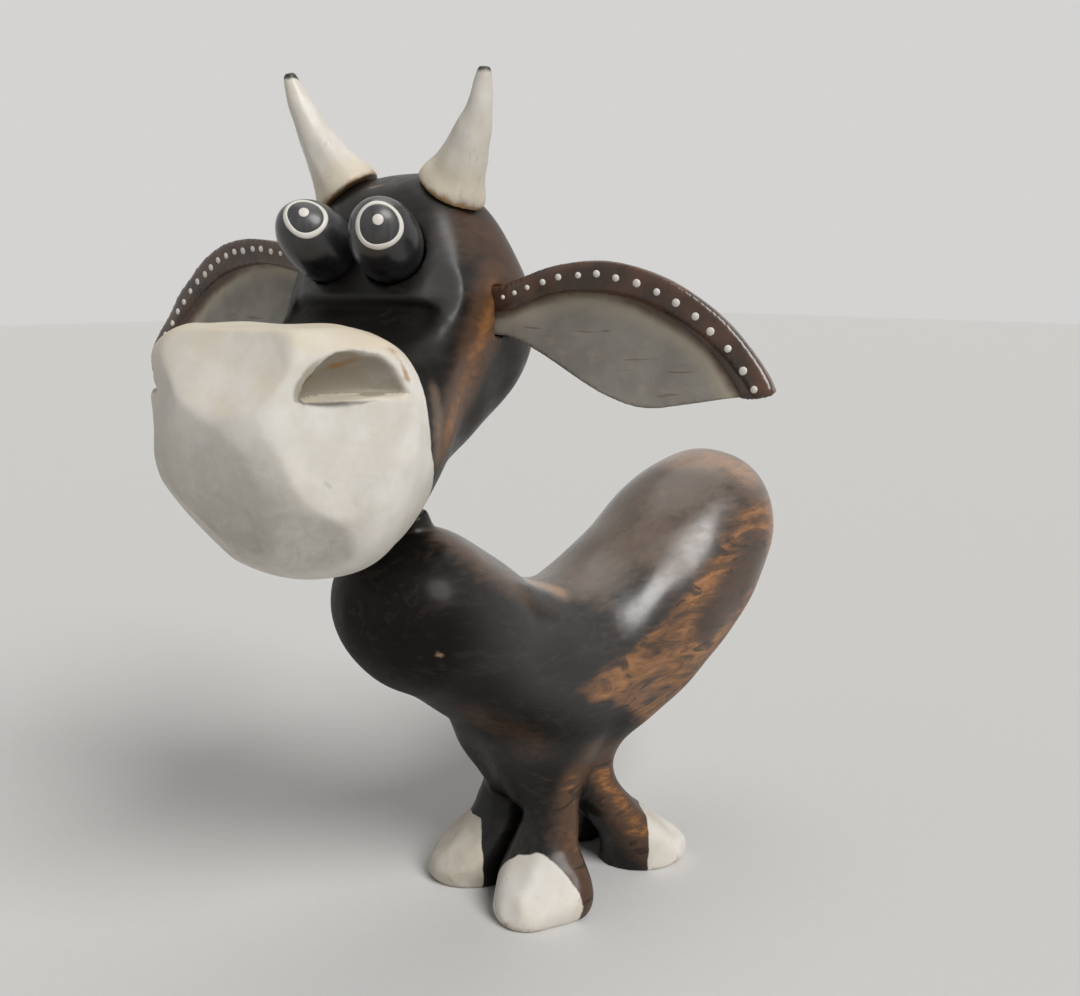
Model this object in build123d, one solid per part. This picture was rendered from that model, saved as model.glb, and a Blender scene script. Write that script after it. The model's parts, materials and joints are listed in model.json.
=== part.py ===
"""Carved wooden cow with a head that nods on a pin.

Lengths are in millimetres. Forward is -Y, the cow's left is +X and up is +Z.
The part stands on Z = 0 and is centred over its own outline.
"""

import os
from copy import copy
from math import cos, radians, sin, tan

from build123d import *

os.makedirs("parts", exist_ok=True)

# Torso, from the chest to the rump
TORSO_LENGTH = 158.0
TORSO_AHEAD = 74.0
BACK_HEIGHT = 124.0
TORSO_WIDTH = 53.0

# Legs, seen from the middle of the four feet
FOOT_SIDE = 19.0
FOOT_AHEAD = 32.0
CORE_RADIUS = 9.0
LEG_HEIGHT = 50.0
TOE_WIDTH = 25.0
LEG_ROOT_WIDTH = 44.0
LEG_ROOT_AHEAD = 5.0

# Neck stub and the pin that carries the head
NECK_LEAN = 13.2
NECK_TOP_RADIUS = 4.6
NECK_FOOT_RADIUS = 7.5
NECK_LENGTH = 24.0
PIN_RADIUS = 1.5
PIN_DEPTH = 18.0
PIN_PLAY = 0.05
CUP_WALL = 1.2
CUP_PLAY = 0.3

# Head, with its chin hanging below the top of the neck stub
HEAD_TURN = 20.0
BALANCE_SHIFT = 3.65
HEAD_LENGTH = 104.5
HEAD_HEIGHT = 92.0
HEAD_WIDTH = 61.0
CHIN_HANG = 7.3
BORE_SPREAD = 10.0
BORE_SPARE = 6.0

# Nostrils
NOSTRIL_WIDTH = 25.0
NOSTRIL_HEIGHT = 10.0
NOSTRIL_AIM = 52.0

# Eyes
EYE_RADIUS = 8.5
EYE_LENGTH = 24.0
EYE_GAP = 2.8
EYE_LIFT = 38.0
EYE_SPLAY = 17.0

# Horns
HORN_RADIUS = 8.4
HORN_HEIGHT = 25.5
HORN_SPREAD = 12.0
HORN_BEND = 9.0
HORN_TILT = 10.0
HORN_SEAT = 4.0

# Ears
EAR_LENGTH = 70.0
EAR_HEIGHT = 34.0
EAR_THICKNESS = 4.5
EAR_CUP_RADIUS = 55.0
EAR_RIM = 6.5
EAR_HOLLOW = 1.2
EAR_SAG = 0.7
EAR_SWEEP = 8.0
LEFT_EAR_DROOP = 0.0
RIGHT_EAR_DROOP = 4.0
EAR_DOWEL_RADIUS = 1.2

# Dowels and glue lines
DOWEL_RADIUS = 2.0
DOWEL_LENGTH = 16.0
GLUE_GAP = 0.05
SEAT_GAP = 0.15

# Torso sections, front to rear: along, bottom, top and width
# as shares of the torso's length, the back's height and the torso's width
TORSO_TIP_SHARES = (0.774, 0.860)
TORSO_SHARES = [
    (0.013, 0.700, 0.851, 0.321),
    (0.057, 0.622, 0.903, 0.698),
    (0.152, 0.532, 0.931, 0.943),
    (0.278, 0.405, 0.847, 0.992),
    (0.418, 0.318, 0.750, 0.995),
    (0.544, 0.306, 0.782, 1.020),
    (0.684, 0.362, 0.899, 1.060),
    (0.810, 0.470, 0.984, 1.055),
    (0.911, 0.600, 0.992, 0.900),
    (0.975, 0.735, 0.935, 0.500),
]

# Neck stub's top, along the torso and up, as shares of its length and the back's height
NECK_SHARES = (0.1324, 0.9623)

# Leg sections, sole to belly: height, place to the side, place along, toe length and toe width
# as shares of the leg's height, the foot's two distances and the toe's width
FRONT_LEG_SHARES = [
    (0.00, 0.705, 0.705, 0.53, 0.42),
    (0.10, 0.72, 0.72, 0.55, 0.455),
    (0.24, 0.64, 0.61, 0.47, 0.43),
    (0.40, 0.55, 0.46, 0.38, 0.375),
    (0.58, 0.50, 0.365, 0.35, 0.33),
    (0.76, 0.46, 0.30, 0.34, 0.31),
    (0.96, 0.44, 0.26, 0.34, 0.31),
]
REAR_LEG_SHARES = [
    (0.00, 0.705, 0.705, 0.53, 0.42),
    (0.10, 0.72, 0.72, 0.55, 0.455),
    (0.24, 0.62, 0.58, 0.46, 0.43),
    (0.40, 0.47, 0.35, 0.38, 0.37),
    (0.58, 0.38, 0.17, 0.34, 0.33),
    (0.76, 0.36, 0.10, 0.34, 0.31),
    (0.96, 0.36, 0.10, 0.34, 0.31),
]
LEG_ENDS = {-1: FRONT_LEG_SHARES, 1: REAR_LEG_SHARES}

# Core between the legs, up from its bottom, as shares of the leg's height
CORE_SHARES = (0.03, 0.80)

# Leg root sections, low to high: height, width and length
# as shares of the leg's height and the leg root's width
LEG_ROOT_SHARES = [
    (0.56, 0.325, 0.46),
    (0.72, 0.375, 0.54),
    (0.88, 0.45, 0.65),
    (1.04, 0.50, 0.71),
    (1.20, 0.51, 0.73),
]

# Head sections, muzzle to skull: along, bottom, widest, top, width, fullness below and above
# as shares of the head's length, height and width
HEAD_TIP_SHARES = (0.385, 0.58)
HEAD_SHARES = [
    (0.026, 0.225, 0.39, 0.545, 0.46, 0.60, 0.66),
    (0.078, 0.110, 0.385, 0.605, 0.76, 0.68, 0.78),
    (0.160, 0.035, 0.375, 0.623, 0.95, 0.70, 0.82),
    (0.290, 0.00, 0.36, 0.615, 1.00, 0.64, 0.74),
    (0.410, 0.04, 0.40, 0.655, 0.95, 0.62, 0.64),
    (0.500, 0.115, 0.48, 0.81, 0.90, 0.62, 0.62),
    (0.600, 0.19, 0.56, 0.985, 0.89, 0.64, 0.68),
    (0.720, 0.25, 0.60, 1.005, 0.91, 0.61, 0.66),
    (0.840, 0.325, 0.60, 0.91, 0.89, 0.58, 0.61),
    (0.940, 0.41, 0.59, 0.77, 0.68, 0.57, 0.59),
    (0.985, 0.49, 0.58, 0.68, 0.39, 0.56, 0.57),
]

# Pivot in the head, along and up, as shares of the head's length and height
PIVOT_SHARES = (0.4737, 0.6087)

# Places on the head: along, up and out to one side
# as shares of the head's length, height and half its width
EYE_SHARES = (0.464, 0.8207, 0)
HORN_BASE_SHARES = (0.646, 0.99, 0.574)
EAR_SHARES = {"left": (0.7033, 0.663, 0.82), "right": (0.7033, 0.755, 0.82)}
NOSTRIL_SHARES = (0.1627, 0.462, 0.803)

# Horn sections, base to tip: place on the horn's line and radius as shares
HORN_SHARES = [
    (0.00, 1.00),
    (0.14, 0.84),
    (0.32, 0.67),
    (0.54, 0.50),
    (0.78, 0.33),
    (1.00, 0.15),
]

# Ear outline from the root over the top to the tip and back below
# as shares of the ear's length and height
EAR_TOP_SHARES = [
    (0.05, 0.12),
    (0.17, 0.21),
    (0.33, 0.285),
    (0.51, 0.26),
    (0.69, 0.10),
    (0.85, -0.16),
    (1.00, -0.57),
]
EAR_BOTTOM_SHARES = [
    (1.00, -0.57),
    (0.88, -0.61),
    (0.73, -0.66),
    (0.57, -0.70),
    (0.41, -0.61),
    (0.20, -0.37),
    (0.05, -0.23),
]
EAR_ROOT_SHARE = -0.08
EAR_MIDDLE_SHARE = -0.12

ROUND_SHARE = 0.5523

SIDES = {"left": 1, "right": -1}
EAR_DROOPS = {"left": radians(LEFT_EAR_DROOP), "right": radians(RIGHT_EAR_DROOP)}


def oval(along, bottom, widest, top, half_width, fullness_below, fullness_above):
    """Closed outline across the part, widest at one height, rounder or boxier by its fullness."""
    drop = fullness_below * (widest - bottom)
    rise = fullness_above * (top - widest)
    low_reach = fullness_below * half_width
    high_reach = fullness_above * half_width
    corners = [
        [(half_width, widest), (half_width, widest + rise), (high_reach, top), (0, top)],
        [(0, top), (-high_reach, top), (-half_width, widest + rise), (-half_width, widest)],
        [(-half_width, widest), (-half_width, widest - drop), (-low_reach, bottom), (0, bottom)],
        [(0, bottom), (low_reach, bottom), (half_width, widest - drop), (half_width, widest)],
    ]
    return Wire([Bezier(*[(x, along, z) for x, z in corner]) for corner in corners])


def egg(radius, length):
    """Egg with its long axis along Z."""
    half = length / 2
    outline = Line((0, -half), (0, half)) + EllipticalCenterArc((0, 0), radius, half, -90, arc_size=180)
    return revolve(Plane.XZ * make_face(outline), Axis.Z)


# Torso
torso_sections = [Vertex(0, -TORSO_AHEAD, TORSO_TIP_SHARES[0] * BACK_HEIGHT)]
for along, bottom, top, width in TORSO_SHARES:
    torso_sections.append(
        oval(
            along * TORSO_LENGTH - TORSO_AHEAD,
            bottom * BACK_HEIGHT,
            (bottom + top) / 2 * BACK_HEIGHT,
            top * BACK_HEIGHT,
            width * TORSO_WIDTH / 2,
            ROUND_SHARE,
            ROUND_SHARE,
        )
    )
torso_sections.append(Vertex(0, TORSO_LENGTH - TORSO_AHEAD, TORSO_TIP_SHARES[1] * BACK_HEIGHT))
torso = Solid.make_loft(torso_sections)

# Legs
legs = []
for end, leg_shares in LEG_ENDS.items():
    for side in SIDES.values():
        foot_aim = Vector(side * FOOT_SIDE, end * FOOT_AHEAD).normalized()
        leg_sections = []
        for height, out, along, length, width in leg_shares:
            middle = Vector(side * out * FOOT_SIDE, end * along * FOOT_AHEAD, height * LEG_HEIGHT)
            plane = Plane(origin=middle, x_dir=foot_aim, z_dir=(0, 0, 1))
            leg_sections.append(plane * Ellipse(length * TOE_WIDTH, width * TOE_WIDTH))
        legs.append(loft(leg_sections))

root_sections = []
for height, width, length in LEG_ROOT_SHARES:
    root_place = Pos(0, -LEG_ROOT_AHEAD, height * LEG_HEIGHT)
    root_sections.append(root_place * Ellipse(width * LEG_ROOT_WIDTH, length * LEG_ROOT_WIDTH))
leg_root = loft(root_sections)
core_bottom, core_top = [share * LEG_HEIGHT for share in CORE_SHARES]
core = Pos(0, 0, core_bottom) * Cylinder(
    CORE_RADIUS,
    core_top - core_bottom,
    align=(Align.CENTER, Align.CENTER, Align.MIN),
)

# Neck stub, with the pivot straight above it on the line of the pin
neck_along, neck_up = NECK_SHARES
pivot_along, pivot_up = PIVOT_SHARES
neck_top = Vector(0, neck_along * TORSO_LENGTH - TORSO_AHEAD, neck_up * BACK_HEIGHT)
pin_line = Vector(0, -sin(radians(NECK_LEAN)), cos(radians(NECK_LEAN)))
pin_reach = (pivot_up * HEAD_HEIGHT - CHIN_HANG) / cos(radians(NECK_LEAN))
pivot = neck_top + pin_line * pin_reach
neck_plane = Plane(origin=neck_top, x_dir=(1, 0, 0), z_dir=pin_line)
neck = Cone(
    NECK_FOOT_RADIUS,
    NECK_TOP_RADIUS,
    NECK_LENGTH,
    align=(Align.CENTER, Align.CENTER, Align.MAX),
)
pin_hole = Cylinder(
    PIN_RADIUS + PIN_PLAY,
    PIN_DEPTH,
    align=(Align.CENTER, Align.CENTER, Align.MAX),
)
body = Part() + torso + leg_root + core
for leg in legs:
    body = body + leg
body = body + neck_plane * neck - neck_plane * pin_hole

# Pin and cup
pin_top = Vector(0, 0, pin_reach)
pin_shaft = Cylinder(
    PIN_RADIUS,
    PIN_DEPTH + pin_reach,
    align=(Align.CENTER, Align.CENTER, Align.MAX),
)
neck_pin = neck_plane * Pos(pin_top) * (pin_shaft + Sphere(PIN_RADIUS))
cup_hollow = PIN_RADIUS + CUP_PLAY
cup_radius = cup_hollow + CUP_WALL
cup_half = Cylinder(cup_radius, cup_radius, align=(Align.CENTER, Align.CENTER, Align.MIN))
cup = (Sphere(cup_radius) - Sphere(cup_hollow)) & cup_half
pivot_cup = neck_plane * Pos(pin_top) * cup


def head_point(along, up, out):
    """Point of the head from its shares, seen from the pivot."""
    return Vector(
        out * HEAD_WIDTH / 2,
        (along - pivot_along) * HEAD_LENGTH,
        (up - pivot_up) * HEAD_HEIGHT,
    )


# Head block, built facing forward with the pivot at the origin
head_sections = [Vertex(head_point(0, HEAD_TIP_SHARES[0], 0))]
for along, bottom, widest, top, width, fullness_below, fullness_above in HEAD_SHARES:
    side_point = head_point(along, widest, width)
    head_sections.append(
        oval(
            side_point.Y,
            head_point(along, bottom, 0).Z,
            side_point.Z,
            head_point(along, top, 0).Z,
            side_point.X,
            fullness_below,
            fullness_above,
        )
    )
head_sections.append(Vertex(head_point(1, HEAD_TIP_SHARES[1], 0)))
head = Solid.make_loft(head_sections)

# Bore of the head, around the pin as the head sees it
socket_radius = cup_radius + CUP_PLAY
bore_length = pivot_up * HEAD_HEIGHT + BORE_SPARE
bore_mouth = socket_radius + bore_length * tan(radians(BORE_SPREAD))
bore = Cone(
    bore_mouth,
    socket_radius,
    bore_length,
    align=(Align.CENTER, Align.CENTER, Align.MAX),
)
pin_in_head = Pos(0, BALANCE_SHIFT, 0) * Rot(0, 0, -HEAD_TURN) * Rot(NECK_LEAN, 0, 0)
bore = pin_in_head * (bore + Sphere(socket_radius))
head = head - bore

# Nostril, the upper half of an egg lying on its side
nostril_room = Box(
    NOSTRIL_WIDTH,
    NOSTRIL_WIDTH,
    NOSTRIL_WIDTH,
    align=(Align.CENTER, Align.CENTER, Align.MIN),
)
nostril = Rot(0, 90, 0) * egg(NOSTRIL_HEIGHT, NOSTRIL_WIDTH) & nostril_room

# Dowels and their holes, along Z about the middle
dowel = Cylinder(DOWEL_RADIUS, DOWEL_LENGTH)
dowel_hole = Cylinder(DOWEL_RADIUS + GLUE_GAP, DOWEL_LENGTH + 2 * GLUE_GAP)
ear_dowel = Cylinder(EAR_DOWEL_RADIUS, DOWEL_LENGTH)
ear_dowel_hole = Cylinder(EAR_DOWEL_RADIUS + GLUE_GAP, DOWEL_LENGTH + 2 * GLUE_GAP)


def horn_shape(line, clearance):
    """Horn along a line, with a straight root below its base; the clearance widens it for its seat."""
    root = Plane(origin=line @ 0 - (line % 0) * HORN_SEAT, z_dir=line % 0)
    sections = [root * Circle(HORN_RADIUS + clearance)]
    for share, radius in HORN_SHARES:
        station = Plane(origin=line @ share, z_dir=line % share)
        sections.append(station * Circle(radius * HORN_RADIUS + clearance))
    return loft(sections), root.location


def ear_roll(axis, radius):
    """Cylinder along the ear; the ear is bent around it."""
    return axis * Cylinder(radius, 4 * EAR_LENGTH)


def box_between(low, high):
    """Box from its lowest to its highest corner."""
    size = Vector(*high) - Vector(*low)
    return Pos(low) * Box(size.X, size.Y, size.Z, align=(Align.MIN, Align.MIN, Align.MIN))


# Eyes, horns and ears on both sides of the head
head_parts = {}
for label, side in SIDES.items():
    eye_place = Pos(head_point(*EYE_SHARES)) * Pos(side * (EYE_RADIUS + EYE_GAP / 2), 0, 0)
    eye_place = eye_place * Rot(0, 0, side * EYE_SPLAY) * Rot(90 - EYE_LIFT, 0, 0)
    eye_joint = eye_place * Pos(0, 0, -EYE_LENGTH / 2)
    eye_seat = eye_place * egg(EYE_RADIUS + SEAT_GAP, EYE_LENGTH + 2 * SEAT_GAP)
    head_parts[label + "_eye"] = eye_place * egg(EYE_RADIUS, EYE_LENGTH) - eye_joint * dowel_hole
    head_parts[label + "_eye_dowel"] = eye_joint * dowel

    horn_along, horn_up, horn_out = HORN_BASE_SHARES
    horn_place = Pos(head_point(horn_along, horn_up, side * horn_out)) * Rot(HORN_TILT, 0, 0)
    horn_line = Bezier(
        (0, 0, 0),
        (side * HORN_BEND, 0, HORN_HEIGHT / 2),
        (side * HORN_SPREAD, 0, HORN_HEIGHT),
    )
    horn, horn_root = horn_shape(horn_line, 0)
    horn_seat = horn_place * horn_shape(horn_line, SEAT_GAP)[0]
    horn_joint = horn_place * horn_root
    head_parts[label + "_horn"] = horn_place * horn - horn_joint * dowel_hole
    head_parts[label + "_horn_dowel"] = horn_joint * dowel

    ear_along, ear_up, ear_out = EAR_SHARES[label]
    ear_level = cos(EAR_DROOPS[label])
    ear_drop = -sin(EAR_DROOPS[label])
    ear_plane = Plane(
        origin=head_point(ear_along, ear_up, side * ear_out),
        x_dir=(side * cos(radians(EAR_SWEEP)) * ear_level, sin(radians(EAR_SWEEP)) * ear_level, ear_drop),
        z_dir=(side * sin(radians(EAR_SWEEP)), -cos(radians(EAR_SWEEP)), 0),
    )
    ear_top = [(x * EAR_LENGTH, side * y * EAR_HEIGHT) for x, y in EAR_TOP_SHARES]
    ear_bottom = [(x * EAR_LENGTH, side * y * EAR_HEIGHT) for x, y in EAR_BOTTOM_SHARES]
    ear_middle = side * EAR_MIDDLE_SHARE * EAR_HEIGHT
    ear_root = EAR_ROOT_SHARE * EAR_LENGTH
    root_top = (ear_root, ear_top[0][1])
    root_bottom = (ear_root, ear_bottom[-1][1])
    ear_edges = [Line(root_top, ear_top[0]), Spline(*ear_top), Spline(*ear_bottom)]
    ear_edges += [Line(ear_bottom[-1], root_bottom), Line(root_bottom, root_top)]
    ear_face = make_face(ear_edges)
    ear_axis = Pos(0, ear_middle, EAR_CUP_RADIUS) * Rot(0, 90, 0)
    ear_inside = EAR_CUP_RADIUS - EAR_THICKNESS
    ear_bend = ear_roll(ear_axis, EAR_CUP_RADIUS) - ear_roll(ear_axis, ear_inside)
    ear_hollow = extrude(Pos(0, -side * EAR_RIM, 0) * ear_face, EAR_HEIGHT, both=True)
    ear_hollow = ear_hollow & ear_roll(ear_axis, ear_inside + EAR_HOLLOW)
    ear = (extrude(ear_face, EAR_HEIGHT, both=True) & ear_bend) - ear_hollow
    slot_edges = sorted([root_top[1], root_bottom[1]])
    ear_slot = ear_plane * box_between(
        (ear_root - SEAT_GAP, slot_edges[0] - SEAT_GAP, -SEAT_GAP),
        (ear_top[0][0], slot_edges[1] + SEAT_GAP, EAR_THICKNESS + EAR_SAG + SEAT_GAP),
    )
    ear_joint = ear_plane * Pos(ear_root, ear_middle / 2, EAR_THICKNESS / 2) * Rot(0, 90, 0)
    head_parts[label + "_ear"] = ear_plane * ear - ear_joint * ear_dowel_hole
    head_parts[label + "_ear_dowel"] = ear_joint * ear_dowel

    nostril_along, nostril_up, nostril_out = NOSTRIL_SHARES
    nostril_place = Pos(head_point(nostril_along, nostril_up, side * nostril_out))
    head = head - nostril_place * Rot(0, 0, side * NOSTRIL_AIM) * nostril
    head = head - eye_seat - eye_joint * dowel_hole
    head = head - horn_seat - horn_joint * dowel_hole
    head = head - ear_slot - ear_joint * ear_dowel_hole
head_parts["head"] = head

# Whole cow, moved so that it stands centred over the origin
head_place = Pos(pivot) * Rot(0, 0, HEAD_TURN) * Pos(0, -BALANCE_SHIFT, 0)
nodes = {"body": body, "neck_pin": neck_pin, "pivot_cup": pivot_cup}
for name, shape in head_parts.items():
    nodes[name] = head_place * shape
box = Compound(children=[copy(shape) for shape in nodes.values()]).bounding_box()
centring = Pos(-box.center().X, -box.center().Y, -box.min.Z)

for name, shape in nodes.items():
    export_step(centring * shape, f"parts/{name}.step")
print("pivot", (centring * Pos(pivot)).position)
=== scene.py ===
"""Looks of the carved wooden cow: burnt wood, cream paint, tool marks, dots and rings.

Lengths are in metres. Forward is -Y, the cow's left is +X and up is +Z.
"""

import json
import math

import bmesh
import bpy
import numpy as np
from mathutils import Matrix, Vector
from mathutils.bvhtree import BVHTree


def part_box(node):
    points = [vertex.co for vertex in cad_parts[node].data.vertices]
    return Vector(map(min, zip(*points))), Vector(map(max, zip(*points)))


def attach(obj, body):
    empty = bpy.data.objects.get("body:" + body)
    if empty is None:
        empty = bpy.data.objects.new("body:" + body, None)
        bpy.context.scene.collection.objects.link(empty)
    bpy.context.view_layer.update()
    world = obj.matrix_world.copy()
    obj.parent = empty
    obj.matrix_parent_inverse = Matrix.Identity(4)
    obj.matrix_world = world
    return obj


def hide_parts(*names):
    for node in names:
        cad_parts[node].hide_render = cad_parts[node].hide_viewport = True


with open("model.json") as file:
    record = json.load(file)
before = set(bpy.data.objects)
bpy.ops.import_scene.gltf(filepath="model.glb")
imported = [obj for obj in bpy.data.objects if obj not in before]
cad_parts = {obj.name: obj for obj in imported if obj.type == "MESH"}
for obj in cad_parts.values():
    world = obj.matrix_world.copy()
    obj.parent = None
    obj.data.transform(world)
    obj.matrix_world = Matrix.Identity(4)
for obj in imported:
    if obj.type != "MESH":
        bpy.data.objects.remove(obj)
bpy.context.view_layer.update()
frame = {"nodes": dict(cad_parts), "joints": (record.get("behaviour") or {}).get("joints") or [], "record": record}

MM = 0.001

# Mesh grain and softness of each carved piece
BODY_VOXEL = 0.8 * MM
BODY_SOFTENING = 8
HEAD_VOXEL = 0.65 * MM
HEAD_SOFTENING = 6
HORN_VOXEL = 0.4 * MM
HORN_SOFTENING = 5
EAR_VOXEL = 0.5 * MM
EAR_SOFTENING = 5
EYE_VOXEL = 0.5 * MM
EYE_SOFTENING = 4

# Hooves: the paint starts this far along each foot
HOOF_EDGE = 25.5 * MM
FRONT_LEFT_HOOF_EDGE = 28.5 * MM
FRONT_LEFT_HOOF_SIDE = 11.5 * MM
HOOF_TOP = 20.0 * MM

# Muzzle: the paint ends this far ahead of the pivot
MUZZLE_EDGE = 18.0 * MM
MUZZLE_LEAN = 0.07
MUZZLE_CHIN = -26.0 * MM
MUZZLE_CHIN_LEAN = 0.45

# Ears
EAR_SWEEP = math.radians(8)
EAR_RIM = 6.0 * MM
EAR_RIM_GROWTH = 0.28
EAR_RIM_RISE = 0.9 * MM
EAR_STRETCHES = {"left": 1.0, "right": 1.09}
EAR_DOTS = {"left": 16, "right": 21}
EAR_DOT_RADII = (0.62 * MM, 0.95 * MM)
EAR_DOT_GROWTH = 0.40
EAR_DOT_HEIGHT = 0.45 * MM
EAR_DOT_INSET = 2.7 * MM
EAR_DOT_START_SHARE = 0.09
EAR_DOT_END_SHARE = 0.975
EAR_STATIONS = 60

# Eyes, with the gaze in the head's own directions: left, back and up
GAZES = {"left": (0.43, -0.84, 0.34), "right": (0.25, -0.79, 0.57)}
RING_RADII = {"left": 4.75 * MM, "right": 4.4 * MM}
RING_WIDTH = 1.3 * MM
RING_HEIGHT = 0.28 * MM
PUPIL_HEIGHT = 0.12 * MM
GLINT_RADIUS = 1.3 * MM
GLINT_HEIGHT = 0.35 * MM
GLINT_LIFT = 0.6 * MM

# Camera, seen from the middle of the feet
CAMERA_PLACE = Vector((231.3 * MM, -212.7 * MM, 180.0 * MM))
CAMERA_PITCH = math.radians(11.5)
CAMERA_HEADING = math.radians(48.5)
CAMERA_LENS = 36.667
CAMERA_SENSOR = 36.0

SIDES = {"left": 1, "right": -1}

# Directions of the head and places of the pivot and the feet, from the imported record
joints = {joint["name"]: joint for joint in frame["joints"]}
pivot = np.array(joints["head_turn"]["pos_m"])
head_left = np.array(joints["head_nod"]["axis"])
upward = np.array([0.0, 0.0, 1.0])
head_axes = np.array([head_left, np.cross(upward, head_left), upward])
soles = np.array([mount["pos_m"] for mount in frame["record"]["mounts"]])
feet_middle = soles.mean(axis=0)


def in_head(points):
    """Points as the head sees them from the pivot: left, back and up."""
    return (points - pivot) @ head_axes.T


def from_head(points):
    """Points given from the pivot in the head's directions, in the row frame."""
    return np.asarray(points, float) @ head_axes + pivot


def in_torso(points):
    """Points seen from the floor under the middle of the feet."""
    return points - feet_middle


# Mesh helpers


def points_of(mesh):
    """Vertex places of a mesh, one row each."""
    flat = np.empty(len(mesh.vertices) * 3)
    mesh.vertices.foreach_get("co", flat)
    return flat.reshape(-1, 3)


def normals_of(mesh):
    """Vertex normals of a mesh, one row each."""
    flat = np.empty(len(mesh.vertices) * 3)
    mesh.vertex_normals.foreach_get("vector", flat)
    return flat.reshape(-1, 3)


def set_points(mesh, points):
    """Moves the vertices of a mesh."""
    mesh.vertices.foreach_set("co", np.ascontiguousarray(points).ravel())
    mesh.update()


def set_field(mesh, name, values):
    """Stores one number per vertex, which the materials read by that name."""
    field = mesh.attributes.new(name, "FLOAT", "POINT")
    field.data.foreach_set("value", np.ascontiguousarray(values, dtype=np.float32))


def new_piece(name, mesh):
    """New object with smooth shading in the scene."""
    mesh.shade_smooth()
    piece = bpy.data.objects.new(name, mesh)
    bpy.context.scene.collection.objects.link(piece)
    return piece


def mesh_of(name, points, faces):
    """Mesh from rows of points and faces."""
    mesh = bpy.data.meshes.new(name)
    mesh.from_pydata([tuple(point) for point in points], [], faces)
    mesh.update()
    return mesh


def carved_copy(name, node, voxel, softening):
    """Solid of a CAD node, softened as sandpaper leaves it."""
    joined = bmesh.new()
    joined.from_mesh(frame["nodes"][node].data)
    bmesh.ops.remove_doubles(joined, verts=joined.verts, dist=0.001 * MM)
    mesh = bpy.data.meshes.new(name)
    joined.to_mesh(mesh)
    joined.free()
    piece = new_piece(name, mesh)
    fuse = piece.modifiers.new("fuse", "REMESH")
    fuse.mode = "VOXEL"
    fuse.voxel_size = voxel
    soften = piece.modifiers.new("soften", "SMOOTH")
    soften.factor = 0.5
    soften.iterations = softening
    graph = bpy.context.evaluated_depsgraph_get()
    settled = bpy.data.meshes.new_from_object(piece.evaluated_get(graph))
    piece.modifiers.clear()
    piece.data = settled
    settled.materials.clear()
    settled.shade_smooth()
    return piece


def fall_off(share):
    """1 at zero, smoothly down to 0 at one and beyond."""
    return np.clip(1 - share**2, 0, 1) ** 2


def smooth_step(values, low, high):
    """0 below low, 1 above high and smooth between."""
    share = np.clip((values - low) / (high - low), 0, 1)
    return share * share * (3 - 2 * share)


def ripples(points, length, seed, waves=20):
    """Smooth seeded bumps, about -1 to 1, of that wave length."""
    draw = np.random.default_rng(seed)
    aims = draw.normal(size=(waves, 3))
    aims /= np.linalg.norm(aims, axis=1)[:, None]
    lengths = length * draw.uniform(0.7, 1.5, waves)
    starts = draw.uniform(0, 2 * math.pi, waves)
    turns = points @ (aims * (2 * math.pi / lengths)[:, None]).T + starts
    return np.sin(turns).sum(axis=1) / math.sqrt(waves)


def path_distance(points, path):
    """Distance of each point to a path of straight runs, and the share of the path at its nearest point."""
    path = np.asarray(path, float)
    best = np.full(len(points), np.inf)
    share = np.zeros(len(points))
    runs = len(path) - 1
    for index in range(runs):
        start = path[index]
        run = path[index + 1] - start
        along = np.clip((points - start) @ run / (run @ run), 0, 1)
        away = np.linalg.norm(points - start - along[:, None] * run, axis=1)
        nearer = away < best
        best = np.where(nearer, away, best)
        share = np.where(nearer, (index + along) / runs, share)
    return best, share


def stroke(points, path, start_width, end_width):
    """1 along a path, falling to 0 at its width, which changes from start to end."""
    away, share = path_distance(points, path)
    return fall_off(away / (start_width + (end_width - start_width) * share))


def swell(points, place, reach, push):
    """Moves points near a place by a push that fades with distance."""
    near = fall_off(np.linalg.norm(points - place, axis=1) / reach)
    return points + near[:, None] * np.asarray(push, float)


def spaced_picks(points, allowed, spacing, seed):
    """Seeded choice of vertices among those allowed, none nearer than the spacing to another."""
    order = np.random.default_rng(seed).permutation(np.flatnonzero(allowed))
    picks = []
    for index in order:
        if all(np.linalg.norm(points[index] - points[other]) > spacing for other in picks):
            picks.append(index)
    return picks


def pare(points, normals, picks, depth, reach, softness):
    """Knife facets: near each picked point the surface is cut back to a plane a little below it."""
    cut = points.copy()
    for index in picks:
        gap = cut - points[index]
        near = fall_off(np.linalg.norm(gap, axis=1) / reach)
        height = gap @ normals[index] + depth
        depths = softness * np.logaddexp(0, height / softness) * near
        cut -= depths[:, None] * normals[index]
    return cut


def flatten(points, normals, place, aim, depth, reach, softness=0.22 * MM):
    """One broad knife plane: the surface near a place is cut back to a plane that faces the aim."""
    aim = np.asarray(aim, float) / np.linalg.norm(aim)
    facing = np.where(normals @ aim > 0.4, 0, 1)
    nearest = points[np.argmin(np.linalg.norm(points - place, axis=1) + facing)]
    gap = points - nearest
    near = 1 - smooth_step(np.linalg.norm(gap, axis=1), 0.65 * reach, reach)
    depths = softness * np.logaddexp(0, (gap @ aim + depth) / softness) * near
    return points - (depths * smooth_step(normals @ aim, 0.1, 0.4))[:, None] * aim


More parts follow.
